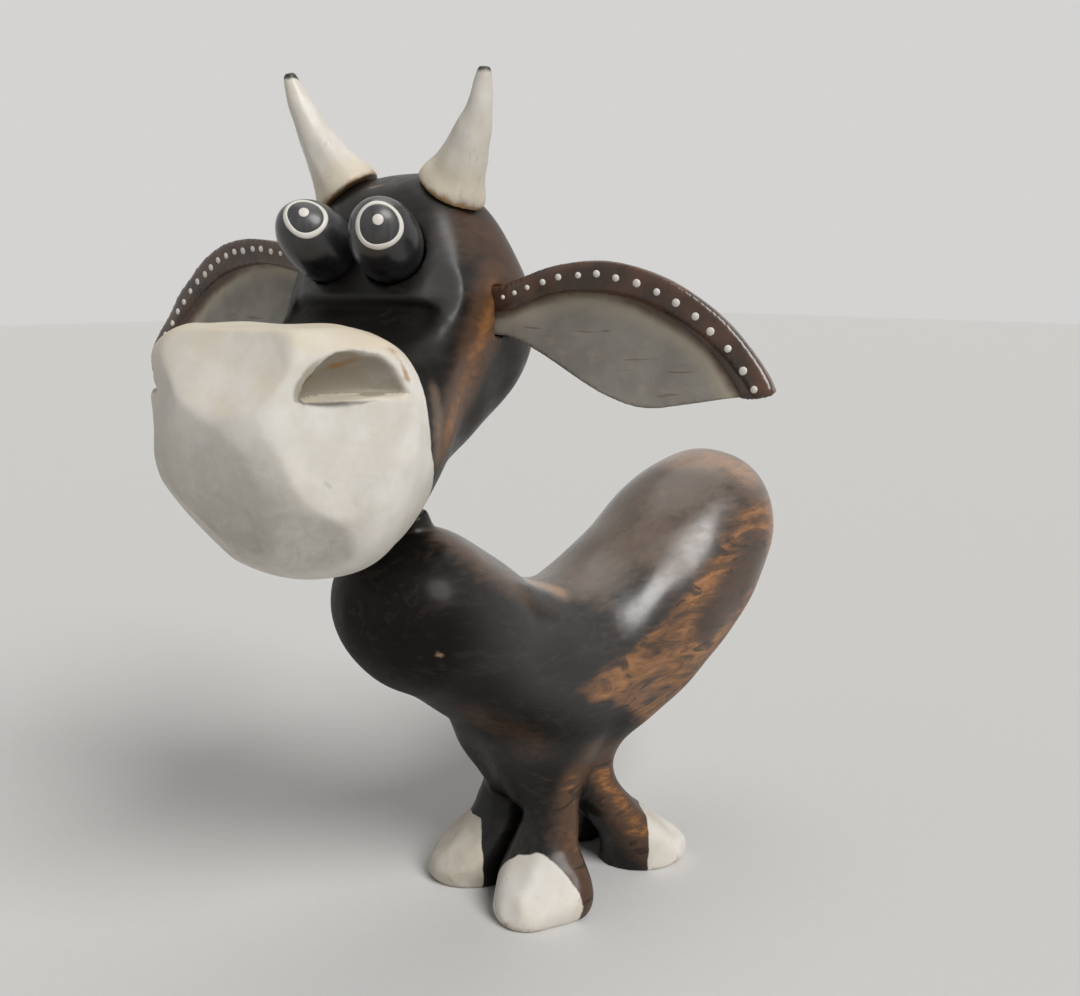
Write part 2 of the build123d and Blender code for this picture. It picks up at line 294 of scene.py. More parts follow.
def inside_outline(spots, outline):
    """Distance of flat points to an outline, above 0 inside it and below 0 outside."""
    outline = np.asarray(outline, float)
    away, _ = path_distance(spots, np.vstack([outline, outline[:1]]))
    inside = np.zeros(len(spots), bool)
    for start, end in zip(outline, np.roll(outline, -1, axis=0)):
        crosses = (start[1] > spots[:, 1]) != (end[1] > spots[:, 1])
        with np.errstate(divide="ignore", invalid="ignore"):
            meet = start[0] + (spots[:, 1] - start[1]) / (end[1] - start[1]) * (end[0] - start[0])
        inside ^= crosses & (spots[:, 0] < meet)
    return np.where(inside, away, -away)


def neighbour_mean(mesh):
    """Function that gives each vertex the mean of a value over its neighbours."""
    pairs = np.empty(len(mesh.edges) * 2, dtype=np.int64)
    mesh.edges.foreach_get("vertices", pairs)
    one, two = pairs.reshape(-1, 2).T
    size = len(mesh.vertices)
    count = np.bincount(pairs, minlength=size).clip(1)
    return lambda values: (np.bincount(one, values[two], size) + np.bincount(two, values[one], size)) / count


def relax(mesh, weight, rounds):
    """Points of a mesh, evened out where the weight is above zero."""
    mean = neighbour_mean(mesh)
    columns = list(points_of(mesh).T)
    for _ in range(rounds):
        columns = [column + weight * (mean(column) - column) / 2 for column in columns]
    return np.column_stack(columns)


def hollowness(mesh, rounds):
    """How hollow the surface is at each vertex, smoothed: above 0 in dents, below 0 on ridges."""
    mean = neighbour_mean(mesh)
    points = points_of(mesh)
    around = np.column_stack([mean(column) for column in points.T])
    bend = ((around - points) * normals_of(mesh)).sum(axis=1)
    for _ in range(rounds):
        bend = (bend + mean(bend)) / 2
    return bend / np.std(bend)


def surface_tree(piece):
    """Search tree of a piece's surface."""
    mesh = piece.data
    corners = [vertex.co for vertex in mesh.vertices]
    return BVHTree.FromPolygons(corners, [tuple(face.vertices) for face in mesh.polygons])


# Shader helpers


class Shader:
    """Material whose nodes are added by short calls; a value may be a number, a colour or a node's output."""

    def __init__(self, name):
        self.material = bpy.data.materials.new(name)
        self.material.use_nodes = True
        self.nodes = self.material.node_tree.nodes
        self.links = self.material.node_tree.links
        self.surface = self.nodes["Principled BSDF"]

    def feed(self, socket, value):
        if isinstance(value, bpy.types.NodeSocket):
            self.links.new(value, socket)
        elif value is not None:
            socket.default_value = value

    def set(self, **values):
        for name, value in values.items():
            self.feed(self.surface.inputs[name.replace("_", " ")], value)

    def place(self, scale=(1, 1, 1), turn=(0, 0, 0)):
        where = self.nodes.new("ShaderNodeTexCoord").outputs["Object"]
        mapping = self.nodes.new("ShaderNodeMapping")
        self.feed(mapping.inputs["Vector"], where)
        self.feed(mapping.inputs["Rotation"], turn)
        self.feed(mapping.inputs["Scale"], scale)
        return mapping.outputs["Vector"]

    def noise(self, where, size, detail=3.0, roughness=0.55, distortion=0.0):
        node = self.nodes.new("ShaderNodeTexNoise")
        self.feed(node.inputs["Vector"], where)
        self.feed(node.inputs["Scale"], 1 / size)
        self.feed(node.inputs["Detail"], detail)
        self.feed(node.inputs["Roughness"], roughness)
        self.feed(node.inputs["Distortion"], distortion)
        return node.outputs["Fac"]

    def field(self, name):
        node = self.nodes.new("ShaderNodeAttribute")
        node.attribute_name = name
        return node.outputs["Fac"]

    def math(self, operation, one, two=None):
        node = self.nodes.new("ShaderNodeMath")
        node.operation = operation
        self.feed(node.inputs[0], one)
        self.feed(node.inputs[1], two)
        return node.outputs[0]

    def sway(self, value, noise, amount):
        """The value, pushed up and down by a noise around a half."""
        node = self.nodes.new("ShaderNodeMath")
        node.operation = "MULTIPLY_ADD"
        self.feed(node.inputs[0], self.math("SUBTRACT", noise, 0.5))
        node.inputs[1].default_value = amount
        self.feed(node.inputs[2], value)
        return node.outputs[0]

    def step(self, value, low, high, start=0.0, end=1.0):
        node = self.nodes.new("ShaderNodeMapRange")
        node.interpolation_type = "SMOOTHSTEP"
        self.feed(node.inputs["Value"], value)
        node.inputs["From Min"].default_value = low
        node.inputs["From Max"].default_value = high
        node.inputs["To Min"].default_value = start
        node.inputs["To Max"].default_value = end
        return node.outputs["Result"]

    def mix(self, share, one, two):
        node = self.nodes.new("ShaderNodeMix")
        node.data_type = "RGBA"
        self.feed(node.inputs[0], share)
        for socket, value in ((node.inputs[6], one), (node.inputs[7], two)):
            self.feed(socket, value if isinstance(value, bpy.types.NodeSocket) else (*value, 1))
        return node.outputs[2]

    def ramp(self, value, *stops):
        node = self.nodes.new("ShaderNodeValToRGB")
        self.feed(node.inputs[0], value)
        marks = node.color_ramp.elements
        while len(marks) < len(stops):
            marks.new(0.5)
        for mark, (spot, colour) in zip(marks, stops):
            mark.position = spot
            mark.color = (*colour, 1)
        return node.outputs["Color"]

    def bump(self, height, distance, strength=1.0, below=None):
        node = self.nodes.new("ShaderNodeBump")
        node.inputs["Strength"].default_value = strength
        node.inputs["Distance"].default_value = distance
        self.feed(node.inputs["Height"], height)
        if below is not None:
            self.feed(node.inputs["Normal"], below)
        return node.outputs["Normal"]


# Colours, linear
SOOT = (0.0055, 0.0048, 0.0042)
CHAR = (0.017, 0.012, 0.009)
UMBER = (0.075, 0.034, 0.017)
BROWN = (0.082, 0.045, 0.027)
EMBER = (0.172, 0.076, 0.028)
HONEY = (0.325, 0.150, 0.055)
TAN = (0.40, 0.25, 0.165)
DRAB = (0.118, 0.082, 0.058)
CREAM = (0.76, 0.735, 0.69)
BONE = (0.65, 0.62, 0.56)
# Grime colour, also used as painted shade in dents, in the nostrils and under the muzzle
GRIME_AND_SHADE = (0.30, 0.265, 0.215)
BUFF = (0.68, 0.585, 0.44)
# Cream painted darker as shade where the dull field asks for it
SHADED_CREAM = (0.37, 0.34, 0.295)
RUST = (0.40, 0.235, 0.105)
# Inner faces of the ears: pale paint, painted dark grey as shade
EAR_SHADED_GREY = (0.180, 0.167, 0.146)
EAR_SHADED_PALE = (0.240, 0.224, 0.197)
EAR_BAND = (0.37, 0.325, 0.245)
RIM_BROWN = (0.030, 0.015, 0.009)
RIM_RED = (0.090, 0.040, 0.020)
EYE_BLACK = (0.008, 0.008, 0.009)
EYE_GREY = (0.026, 0.025, 0.027)
DOT_WHITE = (0.66, 0.63, 0.575)
STRAW = (0.55, 0.40, 0.21)
STEEL = (0.42, 0.42, 0.43)


def cream_paint(shade, where):
    """Cream paint, mottled, yellowed, tinted as painted light, darkened as painted shade, grimy and shaded in its
    dents and worn on its edges; and its smears.
    """
    mottle = shade.noise(where, 16 * MM, 4, 0.6)
    smear = shade.noise(where, 4.5 * MM, 3, 0.6, 0.8)
    stain = shade.noise(where, 11 * MM, 4, 0.65, 0.6)
    colour = shade.mix(shade.step(mottle, 0.38, 0.66), BONE, CREAM)
    # Yellowing, and painted light and shade tints where the warm field asks for them
    yellowing_and_tint = shade.sway(shade.field("yellowing_and_light_tint"), stain, 1.1)
    colour = shade.mix(shade.step(yellowing_and_tint, 0.1, 1.0, 0, 0.8), colour, BUFF)
    # Painted shade: the dull field darkens the cream where shade falls
    painted_shade = shade.sway(shade.field("dull"), shade.math("ADD", mottle, shade.math("SUBTRACT", smear, 0.5)), 0.5)
    colour = shade.mix(shade.step(painted_shade, 0.05, 1.0, 0, 0.9), colour, SHADED_CREAM)
    # Grime, and painted shade in dents, in the nostrils and under the muzzle
    dirt_and_shade = shade.sway(shade.field("grime_and_shade"), smear, 0.9)
    colour = shade.mix(shade.step(dirt_and_shade, 0.45, 1.35, 0, 0.8), colour, GRIME_AND_SHADE)
    speck = shade.noise(where, 2.6 * MM, 2, 0.5)
    colour = shade.mix(shade.step(speck, 0.76, 0.80, 0, 0.35), colour, RUST)
    worn = shade.sway(shade.field("wear"), smear, 0.8)
    colour = shade.mix(shade.step(worn, 0.42, 0.75, 0, 0.9), colour, RUST)
    return colour, smear


def carved_wood(name, grain_turn, flecks, coat, coat_roughness):
    """Burnt and varnished wood with cream paint where the paint field is above zero."""
    shade = Shader(name)
    where = shade.place()
    along = shade.place(scale=(1, 0.3, 1), turn=grain_turn)
    fibre = shade.noise(along, 2.2 * MM, 5, 0.6, 0.4)
    fleck = shade.noise(along, 5.0 * MM, 4, 0.62, 1.5)
    cloud = shade.noise(where, 26 * MM, 3, 0.5)
    glow = shade.sway(shade.field("glow"), fleck, flecks)
    glow = shade.sway(glow, fibre, 0.5 * flecks)
    glow = shade.sway(glow, cloud, 0.4)
    wood = shade.ramp(
        glow, (0.12, SOOT), (0.32, CHAR), (0.47, UMBER), (0.66, EMBER), (0.95, HONEY)
    )
    brown = shade.sway(shade.sway(shade.field("brown"), fibre, 0.45), cloud, 0.45)
    wood = shade.mix(shade.step(brown, 0.1, 0.75, 0, 0.92), wood, BROWN)
    bared = shade.math("SUBTRACT", glow, 0.5)
    wood = shade.mix(shade.step(bared, 0.0, 0.35), wood, shade.ramp(glow, (0.5, BROWN), (0.7, EMBER), (0.95, HONEY)))
    dash = shade.noise(along, 4.4 * MM, 2, 0.5, 1.2)
    wood = shade.mix(shade.step(dash, 0.56, 0.66, 0, 0.62 * flecks), wood, CHAR)
    pale = shade.sway(shade.field("pale"), fleck, 0.45)
    pale = shade.sway(pale, fibre, 0.3)
    pale = shade.sway(pale, cloud, 0.4)
    wood = shade.mix(shade.step(pale, 0.08, 0.5, 0, 0.9), wood, DRAB)
    wood = shade.mix(shade.step(pale, 0.42, 1.0, 0, 0.9), wood, TAN)
    cream, smear = cream_paint(shade, where)
    edge = shade.sway(shade.field("paint"), shade.noise(where, 5 * MM, 3), 1.6)
    painted = shade.step(edge, -0.22, 0.22)
    shade.set(Base_Color=shade.mix(painted, wood, cream))
    rough = shade.step(shade.sway(fibre, smear, 0.6), 0.2, 0.8, 0.38, 0.52)
    unvarnished = shade.math("MAXIMUM", painted, shade.field("matt"))
    rough = shade.math("ADD", rough, shade.math("MULTIPLY", unvarnished, 0.12))
    varnish = shade.step(unvarnished, 0, 1, coat, 0.04)
    sheen = shade.step(shade.sway(cloud, fibre, 0.8), 0.3, 0.8, coat_roughness, coat_roughness + 0.13)
    gloss = shade.step(shade.field("matt"), 0, 1, 0.17, 0.05)
    shade.set(Roughness=rough, Coat_Weight=varnish, Coat_Roughness=sheen, Specular_IOR_Level=gloss)
    lines = shade.bump(fibre, 0.10 * MM, 0.35)
    shade.set(Coat_Normal=shade.bump(fibre, 0.05 * MM, 0.25))
    brush = shade.bump(smear, 0.12 * MM, 0.3, lines)
    shade.set(Normal=shade.bump(painted, 0.12 * MM, 0.6, brush))
    return shade.material


def horn_paint():
    """Cream paint over wood, bare and dark where the paint field is below zero."""
    shade = Shader("cream_paint")
    where = shade.place()
    cream, smear = cream_paint(shade, where)
    streak = shade.noise(shade.place(scale=(1, 1, 0.2)), 2.4 * MM, 3, 0.6)
    cream = shade.mix(shade.step(streak, 0.60, 0.72, 0, 0.35), cream, GRIME_AND_SHADE)
    edge = shade.sway(shade.field("paint"), smear, 2.4)
    painted = shade.step(edge, -0.5, 0.5)
    shade.set(Base_Color=shade.mix(painted, CHAR, cream))
    shade.set(Roughness=shade.step(smear, 0.2, 0.8, 0.38, 0.55), Coat_Weight=0.15, Coat_Roughness=0.3)
    shade.set(Normal=shade.bump(smear, 0.12 * MM, 0.4))
    return shade.material


def ear_paint():
    """Brown varnished rim and back, and a rubbed inner face where the rim field is below zero: pale paint, painted
    dark grey as shade.
    """
    shade = Shader("ear_paint")
    where = shade.place()
    rubbed = shade.noise(shade.place(scale=(0.25, 1, 1)), 3.5 * MM, 4, 0.6, 0.5)
    mottle = shade.noise(where, 14 * MM, 3)
    # Inner face: pale paint painted dark grey as shade
    face = shade.mix(shade.step(mottle, 0.35, 0.65), EAR_SHADED_GREY, EAR_SHADED_PALE)
    face = shade.mix(shade.step(rubbed, 0.52, 0.72, 0, 0.4), face, GRIME_AND_SHADE)
    scratch = shade.noise(shade.place(scale=(0.12, 0.12, 1)), 1.3 * MM, 2, 0.5, 0.3)
    face = shade.mix(shade.step(scratch, 0.64, 0.72, 0, 0.5), face, UMBER)
    band = shade.sway(shade.field("rim"), mottle, 5)
    face = shade.mix(shade.step(band, -6.0, -1.2, 0, 0.85), face, EAR_BAND)
    face = shade.mix(shade.step(band, -2.4, 0.3, 0, 0.85), face, UMBER)
    brown = shade.mix(shade.step(shade.noise(where, 9 * MM, 4, 0.6), 0.35, 0.7), RIM_BROWN, RIM_RED)
    edge = shade.sway(shade.field("rim"), shade.noise(where, 4 * MM, 3), 1.2)
    rim = shade.step(edge, -0.25, 0.25)
    shade.set(Base_Color=shade.mix(rim, face, brown))
    rough = shade.math("SUBTRACT", shade.step(rubbed, 0.2, 0.8, 0.46, 0.62), shade.math("MULTIPLY", rim, 0.24))
    varnish = shade.step(rim, 0, 1, 0.05, 0.45)
    shade.set(Roughness=rough, Coat_Weight=varnish, Coat_Roughness=0.18, Specular_IOR_Level=0.4)
    shade.set(Normal=shade.bump(rubbed, 0.12 * MM, 0.35))
    return shade.material


def plain_paint(name, one, two, size, rough, coat):
    """Hand-brushed paint between two tones."""
    shade = Shader(name)
    brush = shade.noise(shade.place(scale=(1, 1, 0.4)), size, 4, 0.6, 0.6)
    shade.set(Base_Color=shade.mix(shade.step(brush, 0.3, 0.7), one, two))
    shade.set(Roughness=shade.step(brush, 0.25, 0.75, rough - 0.06, rough + 0.08))
    shade.set(Coat_Weight=coat, Coat_Roughness=0.15)
    shade.set(Normal=shade.bump(brush, 0.08 * MM, 0.35))
    return shade.material


def bamboo():
    """Straw-coloured fibres."""
    shade = Shader("bamboo")
    fibre = shade.noise(shade.place(scale=(1, 1, 0.15)), 0.8 * MM, 3)
    shade.set(Base_Color=shade.mix(shade.step(fibre, 0.35, 0.65), STRAW, BONE))
    shade.set(Roughness=shade.step(fibre, 0.2, 0.8, 0.5, 0.7), Normal=shade.bump(fibre, 0.05 * MM, 0.4))
    return shade.material


def steel():
    """Drawn steel with fine lengthwise scratches and dull spots."""
    shade = Shader("steel")
    scratch = shade.noise(shade.place(scale=(1, 1, 0.08)), 0.35 * MM, 3)
    dull = shade.noise(shade.place(), 4 * MM, 3)
    shade.set(Base_Color=shade.mix(shade.step(dull, 0.45, 0.75, 0, 0.6), STEEL, UMBER), Metallic=1.0)
    shade.set(Roughness=shade.step(dull, 0.3, 0.7, 0.28, 0.5), Normal=shade.bump(scratch, 0.03 * MM, 0.4))
    return shade.material


# Grain runs up the rump on the body and down the cheek on the head
body_wood = carved_wood("burnt_wood_body", (math.radians(-35), 0, 0), 1.25, 1.0, 0.22)
head_wood = carved_wood("burnt_wood_head", (math.radians(-54), 0, 0), 0.45, 0.34, 0.28)
horn_cream = horn_paint()
ear_finish = ear_paint()
eye_black = plain_paint("black_paint", EYE_BLACK, EYE_GREY, 7 * MM, 0.30, 0.35)
# Lighter grey inside the eye rings: painted reflection on the black paint
pupil_reflection = plain_paint("pupil_reflection_paint", EYE_GREY, (0.055, 0.053, 0.055), 3 * MM, 0.40, 0.2)
dot_white = plain_paint("dot_paint", DOT_WHITE, CREAM, 2 * MM, 0.45, 0.1)
dowel_bamboo = bamboo()
pin_steel = steel()


def dress(piece, material, body, nodes):
    """Gives a piece its material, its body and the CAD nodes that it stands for."""
    piece.data.materials.clear()
    piece.data.materials.append(material)
    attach(piece, body)
    if nodes:
        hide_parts(*nodes)


# Body

HOOF_FACET_SPACING = 8.5 * MM
HEEL_REACH = 16 * MM

# Orange patch on each flank, seen from the side, and the burn across it, from the feet's middle
FLANK_PATCH = [(-18, 69), (4.6, 75.2), (18.7, 82), (33.6, 93.6), (46, 104.3), (59, 110.8), (70, 114)]
FLANK_PATCH += [(84, 108), (80, 92), (70, 74), (54, 56), (38, 45), (22, 43), (8, 53), (0, 59), (-12, 63)]
FLANK_BURN = [(28, 35, 77), (28, 42, 82), (28, 51, 88), (27, 57, 94)]
# Tan rump, saddle and shoulder
RUMP_TOP = [(0, 54, 120), (8, 61, 122), (14, 66, 118)]
BACK_LINE = [(2, 0, 92), (4, 24, 103), (6, 44, 114)]
SADDLE = [(4, -20, 97), (5, -12, 94), (9, -9, 92)]
SHOULDER = [(8, -46, 112), (14, -40, 108), (16, -34, 102)]
# Brown sides of the legs and the belly: path, width and strength
BROWNS = [
    ([(15, -6, 46), (17, -8, 34), (20, -12, 20), (25, -15, 6)], 13, 0.85),
    ([(14, 6, 40), (16, 9, 26), (20, 16, 12), (24, 22, 4)], 13, 0.80),
    ([(-15, -8, 44), (-17, -11, 30), (-20, -16, 14)], 11, 0.55),
    ([(-14, 6, 40), (-16, 9, 26), (-20, 16, 12), (-24, 22, 4)], 13, 0.70),
    ([(15, -44, 66), (16, -30, 56), (12, -14, 48)], 12, 0.42),
    ([(-15, -44, 66), (-16, -30, 56), (-12, -14, 48)], 12, 0.42),
    ([(10, -46, 112), (16, -40, 106), (18, -32, 100)], 13, 0.62),
    ([(-10, -46, 112), (-16, -40, 106), (-18, -32, 100)], 13, 0.62),
]
# Bared streaks down the legs: path, width and strength
LEG_STREAKS = [
    ([(17, -9, 38), (20, -13, 18), (25, -15, 3)], 8, 0.64),
    ([(14, 4, 33), (16, 7, 27), (18, 11, 20), (20, 15, 14)], 8, 0.78),
    ([(-14, 4, 33), (-16, 8, 26), (-19, 13, 16)], 7, 0.58),
]
CHEST_FLECK = [(20.8, -60.2, 87.7), (21.2, -59.5, 87.4)]
# Grooves between the legs: heights where they start and end, half width, and depths in front and at the sides
GROOVE_START = (16, 28)
GROOVE_END = (40, 58)
GROOVE_HALF = 6.5
GROOVE_DEPTHS = (5, 3)
# Junction of belly and legs, evened out between these heights
JUNCTION = (20, 30, 60, 70)
JUNCTION_ROUNDS = 90
# The wood between the legs is hollowed from below: radius, height, rise and taper
ARCH_RADIUS = 9.5
ARCH_HEIGHT = 26
ARCH_RISE = 10
ARCH_TAPER = 0.35
# Heels bulge out behind the front hooves: place and push
HEEL = (21, -13, 4)
HEEL_PUSH = (6.5, 2.0, 0)


def scaled(path, side=1):
    """Path written in millimetres, on one side, in metres."""
    return [(side * x * MM, y * MM, z * MM) for x, y, z in path]


def make_body():
    piece = carved_copy("carved_body", "body", BODY_VOXEL, BODY_SOFTENING)
    mesh = piece.data
    seen = in_torso(points_of(mesh))
    toe_aim = np.abs(soles[0, :2] - feet_middle[:2])
    toe_aim /= np.linalg.norm(toe_aim)
    front_left = (seen[:, 0] > 0) & (seen[:, 1] < 0)
    hoof = np.abs(seen[:, :2]) @ toe_aim - np.where(front_left, FRONT_LEFT_HOOF_EDGE, HOOF_EDGE)
    sideways = seen[:, :2] @ toe_aim[::-1]
    hoof = np.where(front_left, np.minimum(hoof, FRONT_LEFT_HOOF_SIDE - sideways), hoof)
    hoof = np.where(seen[:, 2] < HOOF_TOP, hoof, -HOOF_EDGE)
    left, back, height = seen.T / MM
    level = smooth_step(height, *GROOVE_START) * (1 - smooth_step(height, *GROOVE_END))
    ends = level * fall_off(left / GROOVE_HALF) * smooth_step(np.abs(back), 6, 14)
    flanks = level * fall_off(back / GROOVE_HALF) * smooth_step(np.abs(left), 5, 11)
    seen[:, 1] -= np.sign(back) * ends * GROOVE_DEPTHS[0] * MM
    seen[:, 0] -= np.sign(left) * flanks * GROOVE_DEPTHS[1] * MM
    set_points(mesh, seen + feet_middle)
    low, full, fading, high = JUNCTION
    seen = in_torso(relax(mesh, smooth_step(height, low, full) * (1 - smooth_step(height, fading, high)), JUNCTION_ROUNDS))
    apart = np.hypot(seen[:, 0], seen[:, 1]) / MM
    arch = 1 - smooth_step(apart, ARCH_RADIUS - 1.5, ARCH_RADIUS + 1.5)
    arch *= 1 - smooth_step(seen[:, 2] / MM, 0, ARCH_HEIGHT)
    seen[:, 2] += ARCH_RISE * MM * arch
    seen[:, :2] *= 1 - ARCH_TAPER * arch[:, None]
    for side in SIDES.values():
        low = swell(seen, scaled([HEEL], side)[0], HEEL_REACH, scaled([HEEL_PUSH], side)[0])
        seen = np.where((seen[:, 2] < 30 * MM)[:, None], low, seen)
    seen[:, 2] -= seen[:, 2].min() * fall_off(seen[:, 2] / (8 * MM))
    points = seen + feet_middle
    set_points(mesh, points)
    ground = smooth_step(points[:, 2], 0.5 * MM, 6 * MM)
    points += normals_of(mesh) * (ripples(points, 26 * MM, 11) * 0.35 * MM * ground)[:, None]
    set_points(mesh, points)
    toes = spaced_picks(points, (hoof > 2 * MM) & (points[:, 2] > 3 * MM), HOOF_FACET_SPACING, 3)
    points = pare(points, normals_of(mesh), toes, 0.7 * MM, 9 * MM, 0.15 * MM)
    points[:, 2] = np.maximum(points[:, 2], 0)
    set_points(mesh, points)
    seen = in_torso(points)
    patch = inside_outline(seen[:, 1:], np.array(FLANK_PATCH) * MM)
    glow = 0.04 + 0.12 * smooth_step(seen[:, 1], -30 * MM, 10 * MM)
    glow += 0.56 * smooth_step(patch, -2.5 * MM, 3 * MM) * smooth_step(np.abs(seen[:, 0]), 4 * MM, 12 * MM)
    pale = np.zeros(len(points))
    for side in SIDES.values():
        glow -= 0.72 * stroke(seen, scaled(FLANK_BURN, side), 8 * MM, 11 * MM)
        pale = np.maximum(pale, 0.80 * stroke(seen, scaled(RUMP_TOP, side), 20 * MM, 18 * MM))
        pale = np.maximum(pale, 0.45 * stroke(seen, scaled(BACK_LINE, side), 26 * MM, 30 * MM))
        pale = np.maximum(pale, 0.95 * stroke(seen, scaled(SADDLE, side), 9 * MM, 7 * MM))
        pale = np.maximum(pale, 0.28 * stroke(seen, scaled(SHOULDER, side), 14 * MM, 14 * MM))
    brown = 0.5 * smooth_step(seen[:, 1], 0, 30 * MM) * smooth_step(seen[:, 2], 40 * MM, 70 * MM)
    for path, width, strength in BROWNS:
        brown = np.maximum(brown, strength * stroke(seen, scaled(path), width * MM, width * MM))
    set_field(mesh, "brown", brown)
    for streak, width, strength in LEG_STREAKS:
        glow = np.maximum(glow, strength * stroke(seen, scaled(streak), width * MM, width * MM))
    fleck = stroke(seen, scaled(CHEST_FLECK), 1.2 * MM, 1.2 * MM)
    hollow = hollowness(mesh, 12)
    set_field(mesh, "paint", hoof / MM)
    set_field(mesh, "glow", glow)
    set_field(mesh, "pale", np.maximum(pale, 0.9 * fleck))
    # Grime and painted shade: darker in dents and towards the floor
    set_field(mesh, "grime_and_shade", 0.25 + 0.2 * hollow + 0.45 * fall_off(points[:, 2] / (4 * MM)))
    set_field(mesh, "wear", 0.10 - 0.1 * hollow)
    # Painted shade: the front right hoof is painted warmer and duller, as in shade
    shaded = (seen[:, 0] < 0) & (seen[:, 1] < 0)
    set_field(mesh, "yellowing_and_light_tint", np.where(shaded, 0.6, 0.25))
    set_field(mesh, "dull", np.where(shaded, 0.5, 0.0))
    chest = smooth_step(-seen[:, 1], 36 * MM, 60 * MM)
    under = smooth_step(-normals_of(mesh)[:, 2], -0.1, 0.6)
    legs = 1 - smooth_step(seen[:, 2], 40 * MM, 60 * MM)
    set_field(mesh, "matt", np.maximum(0.82 * chest, 0.75 * np.maximum(under, 0.8 * legs)))
    dress(piece, body_wood, "torso", ["body"])
    return piece


# Head, in millimetres from the pivot: left, back and up

CHEEK_STRIP = [(25, 18, 9), (27, 13.5, 3.5), (27, 8.7, -3.5), (27, 2.7, -12.6), (27.7, -3.6, -19), (28.3, -9, -25)]
MUZZLE_FRINGE = [(27, -13.5, -14), (29, -13.5, -20), (29, -13, -28)]
NOSTRIL = (24.5, -36.15, -13.5)
NOSTRIL_AIM = math.radians(52)
NOSTRIL_HALF = (13, 10.4, 10.4)
NOSTRIL_RIM = [(16, -41, -10), (17.5, -33, -6.5), (22.8, -30, -4), (25.2, -24.5, -5), (28, -23.5, -10)]
CREST_SEAM = [(-4, 9, 33), (0, 11, 33), (3, 10, 33)]
SKULL_SIDE = [(23, 13, 22), (24.5, 21, 20), (26.5, 26, 12), (27, 27, 2)]
FAR_RIM = [(-20, -44, -9), (-25, -42, -5), (-29, -39, -8), (-30, -37, -13)]
# Places that stand out or lie back from the plain block: place, reach and push
HEAD_SWELLS = [
    ((-22, -40, -4), 17, (-4.0, -1.5, 0.6)),
    ((-27, -36, -22), 24, (-2.6, -0.8, 0)),
    ((0, 13, 36), 11, (0, 0, -1.4)),
    ((16, 15, 34), 10, (0, -0.5, 0.9)),
    ((-16, 15, 34), 10, (0, -0.5, 0.9)),
    ((23.5, 1, 8.5), 8, (0.8, -1.3, 0)),
    ((-23.5, 1, 8.5), 8, (-0.8, -1.3, 0)),
    ((17, -42, -8), 7, (0.2, -0.3, -1.2)),
    ((25, -25, -5), 8, (0, 0, 1.4)),
]
# Broad knife planes of the muzzle: place, aim, depth and reach
MUZZLE_FULLNESS = 1.2 * MM
MUZZLE_PLANES = [
    ((25, -40, -24), (0.79, -0.61, 0.07), 2.4, 25),
    ((18, -41, -43), (0.42, -0.70, -0.58), 1.3, 25),
    ((0, -52, -32), (-0.05, -0.975, -0.215), 1.5, 24),
    ((-2, -50, -11), (0.05, -0.87, 0.49), 2.0, 26),
    ((-18, -41, -42), (-0.42, -0.70, -0.58), 2.2, 24),
    ((-25, -38, -22), (-0.85, -0.52, 0.05), 1.4, 22),
    ((0, -28, 0), (0, -0.05, 1), 0.8, 22),
    ((22, 1.5, 11.5), (0.58, -0.74, 0.34), 1.3, 13),
    ((-22, 1.5, 11.5), (-0.58, -0.74, 0.34), 1.3, 13),
]
# Dark scratches in the paint
SCRATCHES = [
    [(25.1, -41.6, -18.8), (26.7, -39.5, -20.4)],
    [(11.5, -48.8, -30.9), (10.2, -48.8, -31.5), (8.5, -48.7, -34.1)],
    [(21.5, -44, -30), (22.4, -43.4, -31)],
]
# Hollow under the eyes, between the shelf and the brow
HOLLOW_SHELF = (-9 * MM, 0)
HOLLOW_BROW = (3 * MM, 7.5 * MM)
HOLLOW_AHEAD = -7 * MM
HOLLOW_HALF_LENGTH = 15 * MM
HOLLOW_SIDES = (19 * MM, 26 * MM)
HOLLOW_DEPTH = 3.6 * MM


def nostril_share(seen, side):
    """Distance of points from a nostril's middle as a share of its size, and their height above its ledge."""
    turn = side * NOSTRIL_AIM
    turned = np.array([[math.cos(turn), math.sin(turn), 0], [-math.sin(turn), math.cos(turn), 0], [0, 0, 1]])
    within = (seen - scaled([NOSTRIL], 1)[0] * np.array([side, 1, 1])) @ turned.T
    return np.linalg.norm(within / (np.array(NOSTRIL_HALF) * MM), axis=1), within[:, 2]


